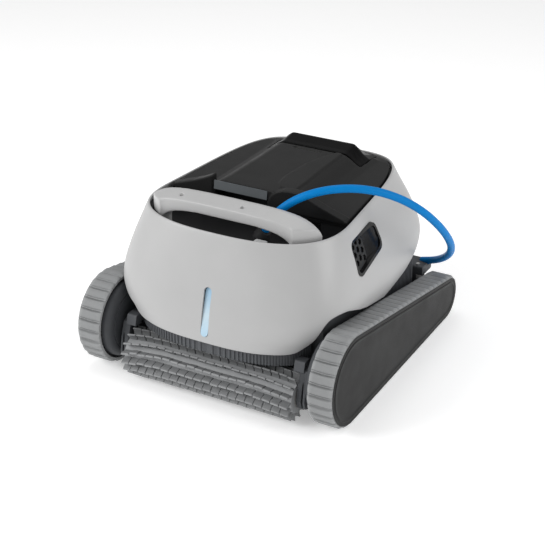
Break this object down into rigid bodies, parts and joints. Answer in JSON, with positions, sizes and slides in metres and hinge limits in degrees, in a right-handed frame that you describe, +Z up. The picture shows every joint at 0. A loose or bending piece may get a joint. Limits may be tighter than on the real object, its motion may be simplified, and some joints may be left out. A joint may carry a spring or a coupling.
{
  "type": "robotic pool cleaner",
  "caption": "Tracked electric pool-cleaning robot with a scrubbing brush, top-opening filter lid, pump outlet, grab handle and a blue floating-cable pigtail.",
  "frame": {"origin": "on the ground below the middle of the machine, leaving the cable out", "axes": "+Z up; -Y is the end with the brush, which leads; +X is the side with the cable bracket"},
  "size_m": [0.4357, 0.4305, 0.3013],
  "materials": {
    "satin_grey_shell": "satin",
    "dark_satin_plastic": "satin",
    "black_plastic": "satin",
    "gloss_black": "gloss",
    "mid_grey_plastic": "satin",
    "charcoal_plastic": "matte",
    "side_cover_plastic": "matte",
    "wheel_plastic": "matte",
    "gear_nylon": "matte",
    "grey_rubber": "matte",
    "grey_pvc": "matte",
    "black_rubber": "matte",
    "motor_housing": "matte",
    "stainless_steel": "brushed",
    "basket_plastic": "satin",
    "filter_mesh": "woven",
    "circuit_board": "satin",
    "pale_blue_lens": "gloss",
    "blue_cable": "satin",
    "pale_clip": "satin"
  },
  "bodies": {
    "machine": {"body_shell": "satin_grey_shell", "handle": "satin_grey_shell", "top_deck": "black_plastic", "side_grille_right": "black_plastic", "side_grille_left": "black_plastic", "side_port_right": "gloss_black", "side_port_left": "gloss_black", "chassis_tub": "charcoal_plastic", "bottom_cover": "charcoal_plastic", "brush_cover": "charcoal_plastic", "brush_bracket_right": "charcoal_plastic", "brush_bracket_left": "charcoal_plastic", "track_frame_right": "charcoal_plastic", "track_frame_left": "charcoal_plastic", "cable_bracket": "charcoal_plastic", "side_cover_right": "side_cover_plastic", "side_cover_left": "side_cover_plastic", "track_belt_right": "grey_rubber", "track_belt_left": "grey_rubber", "cable_gland": "black_rubber", "drive_housing": "motor_housing", "pump_housing": "motor_housing", "handle_screw_left": "stainless_steel", "handle_screw_right": "stainless_steel", "lid_hinge_pin": "stainless_steel", "drive_axle_right": "stainless_steel", "drive_axle_left": "stainless_steel", "idler_axle_right": "stainless_steel", "idler_axle_left": "stainless_steel", "drive_motor_right": "stainless_steel", "drive_motor_left": "stainless_steel", "pump_motor": "stainless_steel", "bracket_screw_inner": "stainless_steel", "bracket_screw_outer": "stainless_steel", "filter_basket": "basket_plastic", "basket_handle": "basket_plastic", "filter_screen": "filter_mesh", "led_board": "circuit_board", "control_board": "circuit_board", "led_lens": "pale_blue_lens", "cable": "blue_cable", "cable_clip": "pale_clip"},
    "wheel_right": {"drive_wheel_right": "wheel_plastic"},
    "wheel_left": {"drive_wheel_left": "wheel_plastic"},
    "idler_right": {"idler_wheel_right": "wheel_plastic"},
    "idler_left": {"idler_wheel_left": "wheel_plastic"},
    "motor_gear_right": {"motor_pinion_right": "gear_nylon"},
    "motor_gear_left": {"motor_pinion_left": "gear_nylon"},
    "brush": {"brush_sleeve": "grey_pvc", "brush_core": "gear_nylon", "brush_spindle": "stainless_steel", "brush_pinion": "gear_nylon"},
    "pump_rotor": {"impeller": "gear_nylon", "impeller_shaft": "stainless_steel"},
    "lid": {"top_lid": "dark_satin_plastic", "lid_grip": "mid_grey_plastic", "outlet_hood": "black_plastic", "outlet_grille": "black_plastic"},
    "flap_front": {"basket_flap_front": "black_rubber"},
    "flap_rear": {"basket_flap_rear": "black_rubber"}
  },
  "joints": [
    {"name": "right_wheel_spin", "type": "hinge", "parent": "machine", "child": "wheel_right", "pos_m": [0, -0.1485, 0.067], "axis": [1, 0, 0], "continuous": true},
    {"name": "left_wheel_spin", "type": "hinge", "parent": "machine", "child": "wheel_left", "pos_m": [0, -0.1485, 0.067], "axis": [1, 0, 0], "continuous": true},
    {"name": "right_idler_spin", "type": "hinge", "parent": "machine", "child": "idler_right", "pos_m": [0, 0.18, 0.0355], "axis": [1, 0, 0], "continuous": true},
    {"name": "left_idler_spin", "type": "hinge", "parent": "machine", "child": "idler_left", "pos_m": [0, 0.18, 0.0355], "axis": [1, 0, 0], "continuous": true},
    {"name": "right_motor_gear_spin", "type": "hinge", "parent": "machine", "child": "motor_gear_right", "pos_m": [0, -0.1065, 0.067], "axis": [1, 0, 0], "continuous": true},
    {"name": "left_motor_gear_spin", "type": "hinge", "parent": "machine", "child": "motor_gear_left", "pos_m": [0, -0.1065, 0.067], "axis": [1, 0, 0], "continuous": true},
    {"name": "brush_spin", "type": "hinge", "parent": "machine", "child": "brush", "pos_m": [0, -0.17514, 0.03583], "axis": [1, 0, 0], "continuous": true},
    {"name": "impeller_spin", "type": "hinge", "parent": "machine", "child": "pump_rotor", "pos_m": [0, 0.125, 0.2], "axis": [0, 0, 1], "continuous": true},
    {"name": "lid_open", "type": "hinge", "parent": "machine", "child": "lid", "pos_m": [0, 0.181, 0.2385], "axis": [-1, 0, 0], "range_deg": [0, 80]},
    {"name": "front_flap_open", "type": "hinge", "parent": "machine", "child": "flap_front", "pos_m": [0, 0.016, 0.0192], "axis": [1, 0, 0], "range_deg": [0, 70]},
    {"name": "rear_flap_open", "type": "hinge", "parent": "machine", "child": "flap_rear", "pos_m": [0, 0.058, 0.0192], "axis": [-1, 0, 0], "range_deg": [0, 70]}
  ],
  "couplings": [
    {"joint": "right_idler_spin", "follows": "right_wheel_spin", "ratio": 2.069},
    {"joint": "left_idler_spin", "follows": "left_wheel_spin", "ratio": 2.069},
    {"joint": "right_motor_gear_spin", "follows": "right_wheel_spin", "ratio": 5.2},
    {"joint": "left_motor_gear_spin", "follows": "left_wheel_spin", "ratio": 5.2},
    {"joint": "brush_spin", "follows": "right_wheel_spin", "ratio": 4.7273}
  ]
}
